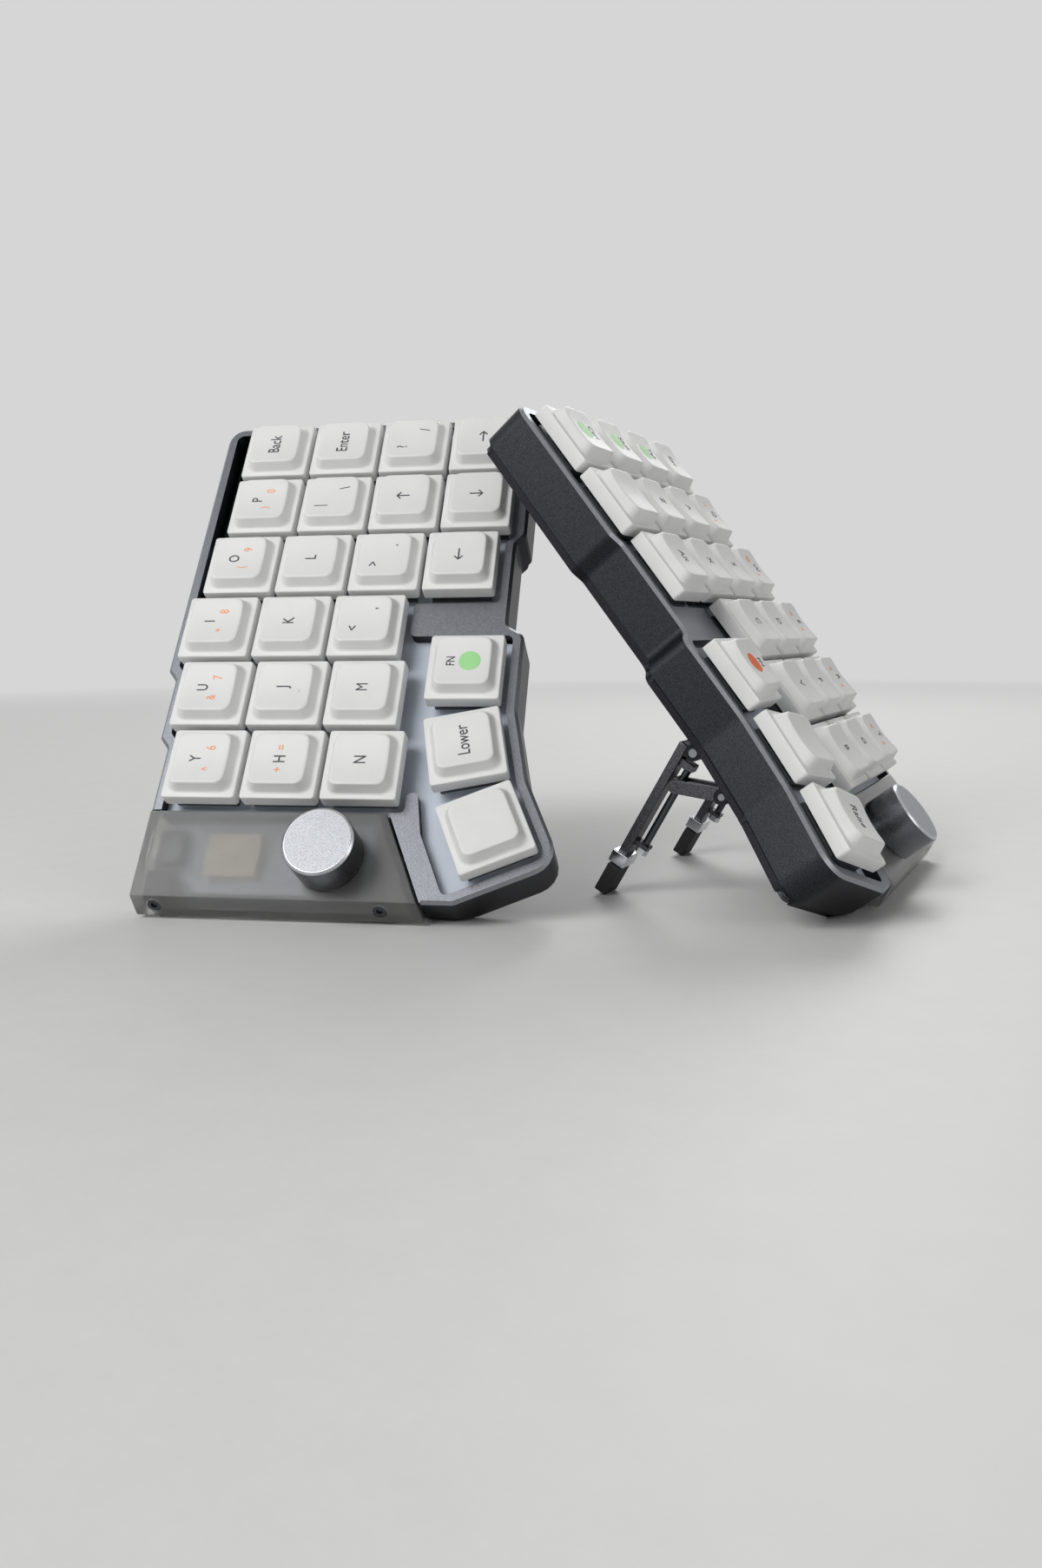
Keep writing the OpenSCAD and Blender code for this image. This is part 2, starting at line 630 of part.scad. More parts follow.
module arm_room(x0, x1) translate([0, 0, arm_off])
    span(x0, x1, arm_w + 2 * slip, -arm_t / 2 - slip, arm_t / 2 + slip);
module leg_collars(t) color([0.8, 0.8, 0.82]) on_leg(t) difference() {
    span(collar_from, collar_from + 3.2, arm_w + 2.2, arm_off - 2.2, arm_off + 2.2);
    arm_room(collar_from - 1, collar_from + 4.2);
}
module leg_feet(t) color([0.1, 0.1, 0.1]) on_leg(t) difference() {
    span(foot_from, leg_len, foot_w, arm_off - foot_t / 2, arm_off + foot_t / 2);
    arm_room(foot_from - 1, arm_to + slip);
}
module leg_sliders(t) color([0.3, 0.3, 0.31]) on_leg(t)
    translate([slider_at(t), 0, 0]) {
    difference() {
        span(-slider_h, slider_h, eye_w, -fork_r, fork_r);
        rod_line(rod_d / 2 + slip, -slider_h - 1, slider_h + 1);
    }
    for (s = [0, 1]) mirror([0, s, 0]) bar_y(stub_r, eye_w / 2 - free, fork_out());
}
module leg_struts(t) color([0.24, 0.24, 0.25]) for (y = leg_rows)
    translate([hinge_x - strut_len, -y, -hinge_drop]) rotate([0, 180 - 2 * leg_angle(t), 0]) difference() {
    union() {
        for (s = [0, 1]) mirror([0, s, 0]) {
            translate([0, fork_at(), -fork_r]) cube([strut_len, fork_t, 2 * fork_r]);
            for (x = [0, strut_len]) translate([x, 0, 0]) bar_y(fork_r, fork_at(), fork_out());
        }
        span(3, 8, 2 * fork_at() + 1, -fork_r, -rod_d / 2 - 0.15);
    }
    for (x = [0, strut_len]) translate([x, 0, 0]) bar_y(stub_r + slip, -10, 10);
}
module leg_pins() color([0.75, 0.75, 0.77]) for (y = leg_rows) translate([0, -y, -hinge_drop]) {
    w = eye_w / 2 + fit + lug_t + 0.1;
    translate([hinge_x, 0, 0]) bar_y(pin_r, -w, w);
    translate([hinge_x - strut_len, 0, 0]) for (s = [0, 1]) mirror([0, s, 0])
        bar_y(stub_r, fork_at(), fork_out() + fit + lug_t + 0.1);
}

on_right() case_frame();  // right_case
on_right() bottom_plate();  // right_bottom_plate
on_right() switch_plate();  // right_switch_plate
on_right() switches();  // right_switches
on_right() main_board();  // right_main_board
on_right() controller_board();  // right_controller_board
on_right() battery();  // right_battery
on_right() end_cover();  // right_end_cover
on_right() screws();  // right_screws
on_right() encoder();  // right_encoder
on_right() encoder_shaft();  // right_encoder_shaft
on_right() knob();  // right_knob
on_right() charging_port();  // right_charging_port
on_right() power_switch();  // right_power_switch
on_right() column_keys(0);  // right_column_1_keys
on_right() column_keys(1);  // right_column_2_keys
on_right() column_keys(2);  // right_column_3_keys
on_right() column_keys(3);  // right_column_4_keys
on_right() column_keys(4);  // right_column_5_keys
on_right() column_keys(5);  // right_column_6_keys
on_right() thumb_key(0);  // right_thumb_key_1
on_right() thumb_key(1);  // right_thumb_key_2
on_right() thumb_key(2);  // right_thumb_key_3
on_right() legs(tilt_right);  // right_legs
on_right() leg_rods(tilt_right);  // right_leg_rods
on_right() leg_struts(tilt_right);  // right_leg_struts
on_right() leg_sliders(tilt_right);  // right_leg_sliders
on_right() leg_feet(tilt_right);  // right_leg_feet
on_right() leg_collars(tilt_right);  // right_leg_collars
on_right() leg_pins();  // right_leg_pins
on_left() case_frame();  // left_case
on_left() bottom_plate();  // left_bottom_plate
on_left() switch_plate();  // left_switch_plate
on_left() switches();  // left_switches
on_left() main_board();  // left_main_board
on_left() controller_board();  // left_controller_board
on_left() battery();  // left_battery
on_left() end_cover();  // left_end_cover
on_left() screws();  // left_screws
on_left() encoder();  // left_encoder
on_left() encoder_shaft();  // left_encoder_shaft
on_left() knob();  // left_knob
on_left() charging_port();  // left_charging_port
on_left() power_switch();  // left_power_switch
on_left() column_keys(0);  // left_column_1_keys
on_left() column_keys(1);  // left_column_2_keys
on_left() column_keys(2);  // left_column_3_keys
on_left() column_keys(3);  // left_column_4_keys
on_left() column_keys(4);  // left_column_5_keys
on_left() column_keys(5);  // left_column_6_keys
on_left() thumb_key(0);  // left_thumb_key_1
on_left() thumb_key(1);  // left_thumb_key_2
on_left() thumb_key(2);  // left_thumb_key_3
on_left() legs(tilt_left);  // left_legs
on_left() leg_rods(tilt_left);  // left_leg_rods
on_left() leg_struts(tilt_left);  // left_leg_struts
on_left() leg_sliders(tilt_left);  // left_leg_sliders
on_left() leg_feet(tilt_left);  // left_leg_feet
on_left() leg_collars(tilt_left);  // left_leg_collars
on_left() leg_pins();  // left_leg_pins
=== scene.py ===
# %% [markdown]
# # A split keyboard that stands up
# The object is a low wireless keyboard cut into two mirrored halves. Each half
# stands on its inner edge and leans on two fold-out legs. The CAD part is loaded
# first and stays a fixed frame: every piece that is made here sits in the same
# frame, in metres, and rides on one of its bodies.

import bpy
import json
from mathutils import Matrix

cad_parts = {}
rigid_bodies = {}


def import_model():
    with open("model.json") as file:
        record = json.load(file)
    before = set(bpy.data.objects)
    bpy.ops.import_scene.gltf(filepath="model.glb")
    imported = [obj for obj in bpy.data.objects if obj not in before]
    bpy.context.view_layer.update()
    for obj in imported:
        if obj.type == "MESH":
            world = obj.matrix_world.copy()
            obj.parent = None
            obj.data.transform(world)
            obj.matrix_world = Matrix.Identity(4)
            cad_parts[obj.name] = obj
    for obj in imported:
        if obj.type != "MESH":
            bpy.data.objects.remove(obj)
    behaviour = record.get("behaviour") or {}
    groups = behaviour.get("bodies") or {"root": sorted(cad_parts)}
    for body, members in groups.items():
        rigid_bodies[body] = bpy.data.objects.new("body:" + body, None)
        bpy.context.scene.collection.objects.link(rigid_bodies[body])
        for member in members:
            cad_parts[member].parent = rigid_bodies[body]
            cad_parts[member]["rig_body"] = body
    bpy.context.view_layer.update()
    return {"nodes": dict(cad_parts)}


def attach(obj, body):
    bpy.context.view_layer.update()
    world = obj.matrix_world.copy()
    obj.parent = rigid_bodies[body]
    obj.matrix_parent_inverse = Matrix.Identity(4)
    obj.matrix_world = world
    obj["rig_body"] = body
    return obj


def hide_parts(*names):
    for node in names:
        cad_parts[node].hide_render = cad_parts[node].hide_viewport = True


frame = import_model()
nodes = frame["nodes"]

# %% [markdown]
# ## One half, lying flat
# A half is easiest to think about lying flat on a bench, in millimetres: X runs
# outwards, Y to the rear and Z up, with the origin under the innermost rear key.
# One matrix for each half then leans it back and stands it on the table. The left
# half is a mirror image, so its matrix holds a mirror too, which turns faces
# inside out. That is why `place` turns them round again.

# %% The frame of a half
import json
import math

import bmesh
import bpy
from mathutils import Matrix, Vector

MM = 0.001
SIDES = ("right", "left")
LEAN = {"right": 55.14, "left": 52.08}
TURN = {"right": 0.0, "left": 70.53}
STAND_AT = {"right": (-79.82, -29.66), "left": (64.77, 28.02)}
STAND_EDGE = 29.0


def half_frame(side):
    """Matrix from a flat half, in millimetres, to its place on the table."""
    lean = math.radians(LEAN[side])
    at = Matrix.Translation((*STAND_AT[side], STAND_EDGE * math.sin(lean)))
    turned = Matrix.Rotation(math.radians(TURN[side]), 4, "Z")
    leaning = Matrix.Rotation(lean, 4, "X") @ Matrix.Rotation(math.pi / 2, 4, "Z")
    hand = Matrix.Scale(-1 if side == "left" else 1, 4, (0, 1, 0))
    return Matrix.Scale(MM, 4) @ at @ turned @ leaning @ hand


HALF = {side: half_frame(side) for side in SIDES}


def place(bm, side):
    """Take a mesh from the flat half to the table, with its faces outwards."""
    bmesh.ops.transform(bm, matrix=HALF[side], verts=bm.verts)
    if side == "left":
        bmesh.ops.reverse_faces(bm, faces=bm.faces)


for side in SIDES:
    print(side, "origin at", [round(x / MM, 2) for x in HALF[side].translation], "mm")

# %% [markdown]
# ## The camera
# The photograph was taken from close by, a little above the keys, with a wide
# lens. Its place was found by fitting a pinhole camera to the corners of the key
# caps. The camera comes first, so that every later step can be looked at.

# %% Camera
CAMERA_AT = Vector((32.12, -285.46, 62.19)) * MM
YAW, PITCH, ROLL = (math.radians(a) for a in (-9.02, -7.55, 0.60))
LENS_MM, SENSOR_MM, NEAREST = 25.71, 36.0, 0.01


def camera_matrix():
    """Blender's camera looks along its own -Z, with +Y up in the picture."""
    ahead = Vector((math.sin(YAW) * math.cos(PITCH), math.cos(YAW) * math.cos(PITCH),
                    math.sin(PITCH)))
    across = Vector((math.cos(YAW), -math.sin(YAW), 0))
    down = ahead.cross(across)
    right = math.cos(ROLL) * across + math.sin(ROLL) * down
    up = math.sin(ROLL) * across - math.cos(ROLL) * down
    turn = Matrix((right, up, -ahead)).transposed().to_4x4()
    return Matrix.Translation(CAMERA_AT) @ turn


lens = bpy.data.cameras.new("camera")
lens.lens, lens.sensor_width, lens.sensor_fit = LENS_MM, SENSOR_MM, "AUTO"
lens.clip_start = NEAREST
camera = bpy.data.objects.new("camera", lens)
bpy.context.scene.collection.objects.link(camera)
camera.matrix_world = camera_matrix()
bpy.context.scene.camera = camera
print("camera", LENS_MM, "mm lens")

# %% [markdown]
# ## Shader maths as Python
# A procedural finish is a small sum: noise times a number, plus another noise.
# `Wire` wraps one socket of a node tree, so that such a sum can be written with
# Python's own operators. Each operator adds a Math node. Any other node comes
# from the one method `node`, which takes its kind, its settings and its sockets.


# %% Sockets that calculate
class Wire:
    """A shader socket that takes part in Python expressions."""

    def __init__(self, tree, socket=None):
        self.tree, self.socket = tree, socket

    def node(self, kind, settings=None, inputs=None, out=0):
        made = self.tree.nodes.new("ShaderNode" + kind)
        for name, value in (settings or {}).items():
            setattr(made, name, value)
        for name, value in (inputs or {}).items():
            if isinstance(value, Wire):
                self.tree.links.new(value.socket, made.inputs[name])
            else:
                made.inputs[name].default_value = value
        return Wire(self.tree, made.outputs[out])

    def sum_with(self, operation, first, second):
        return self.node("Math", {"operation": operation}, {0: first, 1: second})

    def __add__(self, other):
        return self.sum_with("ADD", self, other)

    def __sub__(self, other):
        return self.sum_with("SUBTRACT", self, other)

    def __mul__(self, other):
        return self.sum_with("MULTIPLY", self, other)

    __radd__, __rmul__ = __add__, __mul__


def linear(red, green, blue):
    """A colour as a screen shows it, 0 to 255, as the linear one of a shader."""
    return (*(((c / 255 + 0.055) / 1.055) ** 2.4 if c > 10 else c / 3295
              for c in (red, green, blue)), 1.0)


def new_finish(name, **fixed):
    """A material with its fixed values set, its shader and Object coordinates."""
    material = bpy.data.materials.new(name)
    material.use_nodes = True
    tree = material.node_tree
    shader = tree.nodes["Principled BSDF"]
    for socket, value in fixed.items():
        shader.inputs[socket.replace("_", " ")].default_value = value
    return material, shader, Wire(tree).node("TexCoord", out="Object")


def feed(shader, socket, wire):
    """Link a wire to one of the shader's sockets."""
    wire.tree.links.new(wire.socket, shader.inputs[socket])


def noise(spot, size, detail=2.0):
    """Soft noise with lumps of a size in millimetres."""
    return spot.node("TexNoise", None, {"Vector": spot, "Scale": 1 / (size * MM),
                                        "Detail": detail, "Roughness": 0.55})


def steep(wire, low, high):
    """Stretch the part of a wire between low and high to 0..1."""
    return wire.node("MapRange", {"clamp": True},
                     {"Value": wire, "From Min": low, "From Max": high})


def blend(mask, dark, light):
    """Mix two colours by a mask."""
    return mask.node("Mix", {"data_type": "RGBA"}, {0: mask, 6: dark, 7: light}, out=2)


def relief(height, depth, strength):
    """A bump of a depth in millimetres."""
    return height.node("Bump", None, {"Strength": strength, "Distance": depth * MM,
                                      "Height": height}, out="Normal")


print("shader helpers ready")

# %% [markdown]
# ## Metal finishes
# The case is aluminium that was blasted with fine glass beads and then dyed dark.
# Close up it sparkles, because every bead left a tiny dent that mirrors the light
# another way. Noise of about a quarter of a millimetre drives colour, roughness
# and bump together, so that a lit grain is also a tilted one. The frame's flat top
# is the same dyed metal, painted a shade lighter than the walls as painted light,
# for the light it catches. The bright line round its outer edge is bare metal, cut
# with a diamond tool.


# %% Metals
HAZE = 14.0  # millimetres, the size of soft changes of gloss
DULLER = 0.82  # how dark the dull marks of cut metal are


def blasted(name, dark, light, rough, size=0.26, dent=0.012):
    """Bead-blasted metal: every grain has its own tone, gloss and tilt."""
    material, shader, spot = new_finish(name, Metallic=1.0)
    grain = noise(spot, size, 1.0)
    haze = noise(spot, HAZE, 3.0)
    feed(shader, "Base Color", blend(steep(grain, 0.32, 0.68), dark, light))
    feed(shader, "Roughness", rough - 0.05 + grain * 0.1 + (haze - 0.5) * 0.06)
    feed(shader, "Normal", relief(grain, dent, 0.8))
    return material


def turned(name, tone, rough, size=0.3):
    """Cut metal: bright, with fine marks of a duller tone."""
    material, shader, spot = new_finish(name, Metallic=1.0)
    marks = noise(spot, size, 3.0)
    dull = (*(c * DULLER for c in tone[:3]), 1.0)
    feed(shader, "Base Color", blend(steep(marks, 0.3, 0.7), dull, tone))
    feed(shader, "Roughness", rough - 0.06 + marks * 0.12)
    feed(shader, "Normal", relief(marks, 0.004, 0.5))
    return material


case_metal = blasted("case_metal", linear(42, 43, 46), linear(66, 67, 71), 0.42, 0.2, 0.008)
# Painted light: the frame's flat top is the case's own metal, painted lighter for the light it
# catches.
frame_top_painted_light = blasted("frame_top_painted_light", linear(94, 96, 100), linear(124, 126, 131), 0.42, 0.2, 0.008)
plate_metal = blasted("plate_metal", linear(38, 38, 41), linear(54, 54, 58), 0.44, 0.2, 0.008)
leg_metal = blasted("leg_metal", linear(66, 66, 70), linear(104, 104, 108), 0.4)
edge_metal = turned("edge_metal", linear(150, 152, 158), 0.42, 0.5)
ring_metal = turned("ring_metal", linear(196, 198, 202), 0.24, 0.5)
knob_face = blasted("knob_face", linear(140, 142, 145), linear(172, 174, 178), 0.54, 0.24, 0.009)
# Painted shade: the knob's side is the same aluminium as its top, painted darker.
knob_side_painted_shade = turned("knob_side_painted_shade", linear(118, 119, 123), 0.26, 0.4)
steel = turned("steel", linear(150, 151, 154), 0.3)
dark_steel = turned("dark_steel", linear(86, 87, 90), 0.32)
bright_steel = turned("bright_steel", linear(222, 224, 228), 0.14)
print("metals:", case_metal.name, plate_metal.name, leg_metal.name, edge_metal.name)

# %% [markdown]
# ## Plastic, board and rubber finishes
# The caps are a dense white plastic with a dry, very fine grain from the mould.
# The end cover is frosted: light goes through it, but its rough faces blur
# what is behind. The plate between the keys is painted a cool white. Ink is a
# thin film, a little duller than the cap under it.


# %% Plastics and other finishes
CLOUD = 9.0  # millimetres, the size of soft changes of tone


def moulded(name, low, high, rough, size=0.22, dent=0.006, **fixed):
    """Moulded plastic or paint with a fine grain and a soft change of tone."""
    material, shader, spot = new_finish(name, **fixed)
    grain = noise(spot, size, 2.0)
    cloud = noise(spot, CLOUD, 2.0)
    feed(shader, "Base Color", blend(steep(cloud * 0.6 + grain * 0.4, 0.3, 0.7), low, high))
    feed(shader, "Roughness", rough - 0.05 + grain * 0.1)
    feed(shader, "Normal", relief(grain, dent, 0.6))
    return material


cap_plastic = moulded("cap_plastic", linear(229, 229, 228), linear(236, 236, 235), 0.5)
frosted_plastic = moulded("frosted_plastic", linear(200, 200, 199), linear(210, 210, 209), 0.36,
                          0.16, 0.006, Transmission_Weight=0.86, IOR=1.3)
pale_plate = moulded("pale_plate", linear(196, 205, 218), linear(206, 214, 226), 0.42)
housing_plastic = moulded("housing_plastic", linear(70, 72, 76), linear(84, 86, 90), 0.38)
black_plastic = moulded("black_plastic", linear(24, 24, 26), linear(34, 34, 36), 0.42)
foot_rubber = moulded("foot_rubber", linear(30, 30, 31), linear(42, 42, 43), 0.7, 0.4, 0.03)
module_shield = moulded("module_shield", linear(240, 226, 202), linear(246, 234, 212), 0.4)
ink_dark = moulded("ink_dark", linear(52, 53, 56), linear(64, 65, 68), 0.55)
ink_orange = moulded("ink_orange", linear(246, 158, 100), linear(250, 170, 114), 0.55)
ink_green = moulded("ink_green", linear(160, 224, 148), linear(172, 232, 160), 0.55)
ink_amber = moulded("ink_amber", linear(226, 94, 6), linear(234, 104, 12), 0.6)


def board_lacquer():
    """A circuit board: dark lacquer over copper tracks that show as faint bands."""
    material, shader, spot = new_finish("board", IOR=1.5)
    turned_spot = spot.node("Mapping", None, {"Vector": spot, "Rotation": (0.4, 0.3, 0.8)})
    tracks = spot.node("TexBrick", {"offset": 0.5}, {
        "Vector": turned_spot, "Scale": 260.0, "Color1": (0, 0, 0, 1), "Color2": (0, 0, 0, 1),
        "Mortar": (1, 1, 1, 1), "Mortar Size": 0.03}, out="Fac")
    feed(shader, "Base Color", blend(tracks * 0.7, linear(16, 28, 24), linear(44, 74, 60)))
    feed(shader, "Roughness", 0.3 + noise(spot, 0.5) * 0.12)
    feed(shader, "Normal", relief(tracks, 0.03, 0.5))
    return material


def battery_foil():
    """Crinkled silver foil over a flat battery."""
    material, shader, spot = new_finish("foil", Metallic=1.0)
    creases = spot.node("TexVoronoi", {"feature": "DISTANCE_TO_EDGE"},
                        {"Vector": spot, "Scale": 140.0})
    feed(shader, "Base Color", blend(steep(creases, 0.0, 0.3), linear(176, 178, 182),
                                     linear(208, 210, 214)))
    feed(shader, "Roughness", 0.3 + noise(spot, 2.0) * 0.15)
    feed(shader, "Normal", relief(creases, 0.2, 0.4))
    return material


board, foil = board_lacquer(), battery_foil()
print("plastics:", cap_plastic.name, frosted_plastic.name, pale_plate.name)

# %% [markdown]
# ## From mesh to piece
# Every piece ends the same way: its mesh becomes an object, gets its finishes,
# rides on the body of the CAD node it stands for, and hides that node. Smooth
# shading is kept off real corners, and a Weighted Normal modifier keeps large
# flats flat beside their rounded edges.


# %% Piece helpers
def shade(bm, crease=35):
    """Smooth faces, with edges sharper than the crease angle kept sharp."""
    for face in bm.faces:
        face.smooth = True
    for edge in bm.edges:
        edge.smooth = len(edge.link_faces) == 2 and edge.calc_face_angle() < math.radians(crease)


def add_piece(name, bm, finishes, node, hides=True, even=True):
    """Make a mesh a named piece that rides as a CAD node does."""
    mesh = bpy.data.meshes.new(name)
    bm.to_mesh(mesh)
    bm.free()
    if "custom_normal" in mesh.attributes:
        mesh.attributes.remove(mesh.attributes["custom_normal"])
    for finish in finishes:
        mesh.materials.append(finish)
    piece = bpy.data.objects.new(name, mesh)
    bpy.context.scene.collection.objects.link(piece)
    if even:
        piece.modifiers.new("even_shading", "WEIGHTED_NORMAL").keep_sharp = True
    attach(piece, nodes[node]["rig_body"])
    if hides:
        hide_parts(node)


MERGE_WITHIN, FLAT_WITHIN = 0.003, math.radians(0.6)


def copy_node(node, side):
    """A CAD node's mesh, merged, flat-faced and laid back into its flat half."""
    bm = bmesh.new()
    bm.from_mesh(nodes[node].data)
    bmesh.ops.transform(bm, matrix=HALF[side].inverted(), verts=bm.verts)
    if side == "left":
        bmesh.ops.reverse_faces(bm, faces=bm.faces)
    bmesh.ops.remove_doubles(bm, verts=bm.verts, dist=MERGE_WITHIN)
    bmesh.ops.dissolve_limit(bm, angle_limit=FLAT_WITHIN, verts=bm.verts, edges=bm.edges)
    return bm


REAL_CORNER = math.radians(40)


def corners(bm, longer):
    """Edges over a length where two faces meet at a real corner."""
    return [e for e in bm.edges if len(e.link_faces) == 2 and e.calc_length() > longer
            and e.calc_face_angle() > REAL_CORNER]


def soften(bm, edges, width, segments, finish=-1):
    """Break sharp edges as a file or a mould would."""
    bmesh.ops.bevel(bm, geom=edges, offset=width, offset_type="OFFSET", segments=segments,
                    profile=0.5, affect="EDGES", material=finish, clamp_overlap=False)


print("piece helpers ready")

# %% [markdown]
# ## A key cap
# Each cap is a stepped white block: a square lower tier with upright sides, then a
# raised tier with rounder corners that flares out in a soft fillet at its foot. Its
# top is hollowed from left to right, so a finger finds the middle. The cap starts
# as a cube with bevelled corners. Its top face is then extruded again and again,
# and each new ring is set to the next rounded square of the profile. The underside
# is hollow and carries the stem, made the same way from the bottom face.

# %% Cap profile
CAP_HALF, CAP_CORNER, SKIRT_Z, CAP_TOP = 8.85, 0.7, 14.3, 20.6
BLOCK_H, CROWN_HALF, SCOOP = 2.0, 6.35, 0.65
SCOOP_R = (CROWN_HALF ** 2 + SCOOP ** 2) / (2 * SCOOP)
FILLET_TOP = 18.3
UPPER_RINGS = (
    (8.80, 0.7, 17.36), (8.74, 0.68, 17.56), (8.63, 0.66, 17.66), (8.45, 0.6, 17.70),
    (7.95, 2.5, 17.70), (7.70, 2.46, 17.75), (7.51, 2.42, 17.87), (7.37, 2.38, 18.06),
    (7.28, 2.34, FILLET_TOP), (6.56, 2.06, 20.08), (6.50, 2.04, 20.30), (6.38, 2.0, 20.47),
    (6.18, 1.94, 20.57), (5.9, 1.84, CAP_TOP), (4.1, 1.3, CAP_TOP), (2.2, 0.7, CAP_TOP),
    (0.7, 0.25, CAP_TOP))
LOWER_RINGS = ((7.7, 0.5, SKIRT_Z), (7.7, 0.5, 16.4), (2.5, 0.4, 16.4), (2.5, 0.4, 11.0))


def scoop_depth(x):
    """How far the hollow lies under the cap's highest edge, at a distance x."""
    edge = min(abs(x), CROWN_HALF)
    return SCOOP - SCOOP_R + math.sqrt(SCOOP_R ** 2 - edge ** 2)


def next_ring(bm, face, old, new):
    """Extrude a face and set its ring to the next rounded square."""
    face = bmesh.ops.extrude_discrete_faces(bm, faces=[face])["faces"][0]
    core, goal = old[0] - old[1], new[0] - new[1]
    for vert in face.verts:
        for axis in (0, 1):
            reach = abs(vert.co[axis])
            if reach > core:
                reach = goal + new[1] * (reach - core) / old[1]
            else:
                reach *= goal / core
            vert.co[axis] = math.copysign(reach, vert.co[axis])
        vert.co.z = new[2]
    return face


# %% Cap mesh
def key_cap():
    """One cap with its hollow underside and stem, round its own axis."""
    bm = bmesh.new()
    size = Matrix.Diagonal((2 * CAP_HALF, 2 * CAP_HALF, BLOCK_H, 1.0))
    at = Matrix.Translation((0, 0, SKIRT_Z + BLOCK_H / 2))
    bmesh.ops.create_cube(bm, size=1.0, matrix=at @ size)
    upright = [e for e in bm.edges if abs(e.verts[0].co.z - e.verts[1].co.z) > BLOCK_H / 2]
    soften(bm, upright, CAP_CORNER, segments=4)
    level = [e for e in bm.edges if e.calc_length() > CAP_HALF]
    bmesh.ops.subdivide_edges(bm, edges=level, cuts=5, use_grid_fill=True)
    for upward, rings in ((1, UPPER_RINGS), (-1, LOWER_RINGS)):
        face = max(bm.faces, key=lambda f: upward * f.calc_center_median().z)
        old = (CAP_HALF, CAP_CORNER)
        for ring in rings:
            face = next_ring(bm, face, old, ring)
            old = ring
    for vert in bm.verts:
        share = (vert.co.z - FILLET_TOP) / (CAP_TOP - FILLET_TOP)
        if share > 0:
            vert.co.z -= share * scoop_depth(vert.co.x)
    bmesh.ops.recalc_face_normals(bm, faces=bm.faces)
    mesh = bpy.data.meshes.new("cap_pattern")
    bm.to_mesh(mesh)
    bm.free()
    return mesh


cap_mesh = key_cap()
print("cap:", len(cap_mesh.polygons), "faces,", len(cap_mesh.vertices), "vertices")

# %% [markdown]
# ## Where the keys are
# Six columns, each shifted to suit the length of a finger, and three thumb keys on
# an arc. The names follow the CAD nodes, because a column moves as one body. The
# keys under the two index fingers carry a small dot.

# %% Key places
PITCH_X, PITCH_Y = 19.05, 18.8
STAGGER = (0, 2.4, 4.75, 2.4, 0, 0)
ROWS = (3, 3, 3, 4, 4, 4)
THUMB_AT, THUMB_ARC, THUMB_STEP = (26.0, -58.3), 100.5, math.radians(12)


def key_places():
    """Node name after the side -> matrices of its caps in the flat half."""
    found = {}
    for column, rows in enumerate(ROWS):
        found[f"column_{column + 1}_keys"] = [
            Matrix.Translation((column * PITCH_X, STAGGER[column] - row * PITCH_Y, 0))
            for row in range(rows)]
    for k in range(3):
        turn = k * THUMB_STEP
        spot = (THUMB_AT[0] - THUMB_ARC * math.sin(turn),
                THUMB_AT[1] - THUMB_ARC * (1 - math.cos(turn)), 0)
        found[f"thumb_key_{k + 1}"] = [Matrix.Translation(spot) @ Matrix.Rotation(turn, 4, "Z")]
    return found


PLACES = key_places()
HOMING_COLUMN, HOMING_ROW = "column_2_keys", 1
HOMING_AT, HOMING_SIZE = (-1.0, -3.6), (0.5, 0.5, 0.22)


def homing_bump(bm, spot):
    """The small raised dot that a resting finger feels for."""
    x, y = HOMING_AT
    size = Matrix.Diagonal((*HOMING_SIZE, 1.0))
    at = Matrix.Translation((x, y, CAP_TOP - scoop_depth(x)))
    bmesh.ops.create_uvsphere(bm, u_segments=20, v_segments=10, radius=1.0,
                              matrix=spot @ at @ size)


for side in SIDES:
    for name, spots in PLACES.items():
        bm = bmesh.new()
        for spot in spots:
            start = len(bm.verts)
            bm.from_mesh(cap_mesh)
            bm.verts.ensure_lookup_table()
            bmesh.ops.transform(bm, matrix=spot, verts=bm.verts[start:])
        if name == HOMING_COLUMN:
            homing_bump(bm, spots[HOMING_ROW])
        place(bm, side)
        shade(bm, 50)
        node = f"{side}_{name}"
        add_piece(f"{node}_caps", bm, [cap_plastic], node)
print(sum(len(s) for s in PLACES.values()), "caps on each half")

# %% [markdown]
# ## Printed legends
# The letters are printed on the hollow tops, in plain narrow capitals, with a few
# small marks in orange and a round spot on some keys. Blender's own font makes
# them: a text curve with a hair of thickness is made a mesh, narrowed, and every
# point is set onto the hollow of its cap. A small offset makes the strokes bolder,
# but it would fold over itself in the sharp notch of an M. Letters on the left half
# must not come out mirrored, so they are turned over before the half's own mirror.

# %% Ink shapes
DARK, ORANGE, GREEN, AMBER = range(4)
INKS = [ink_dark, ink_orange, ink_green, ink_amber]
INK_T, INK_LIFT = 0.024, 0.02
NARROW, BOLDER, SIZE_OF_CAPITAL = 0.74, 0.025, 1.37
SHAFT, BARB, STROKE, BARB_AT = 3.3, 1.5, 0.34, (0.5, 1.15)


def lettering(words, height):
    """A mesh of some words, centred, with capitals of a height."""
    curve = bpy.data.curves.new("lettering", "FONT")
    curve.body, curve.size, curve.extrude = words, height * SIZE_OF_CAPITAL, INK_T
    curve.resolution_u = 4
    curve.offset = 0.0 if "M" in words else BOLDER
    holder = bpy.data.objects.new("lettering", curve)
    mesh = bpy.data.meshes.new_from_object(holder)
    bpy.data.objects.remove(holder)
    bpy.data.curves.remove(curve)
    bm = bmesh.new()
    bm.from_mesh(mesh)
    bpy.data.meshes.remove(mesh)
    bmesh.ops.remove_doubles(bm, verts=bm.verts, dist=1e-4)
    low, high = (Vector([pick(v.co[i] for v in bm.verts) for i in range(3)])
                 for pick in (min, max))
    bmesh.ops.translate(bm, vec=-(low + high) / 2, verts=bm.verts)
    bmesh.ops.scale(bm, vec=(NARROW, 1, 1), verts=bm.verts)
    return bm


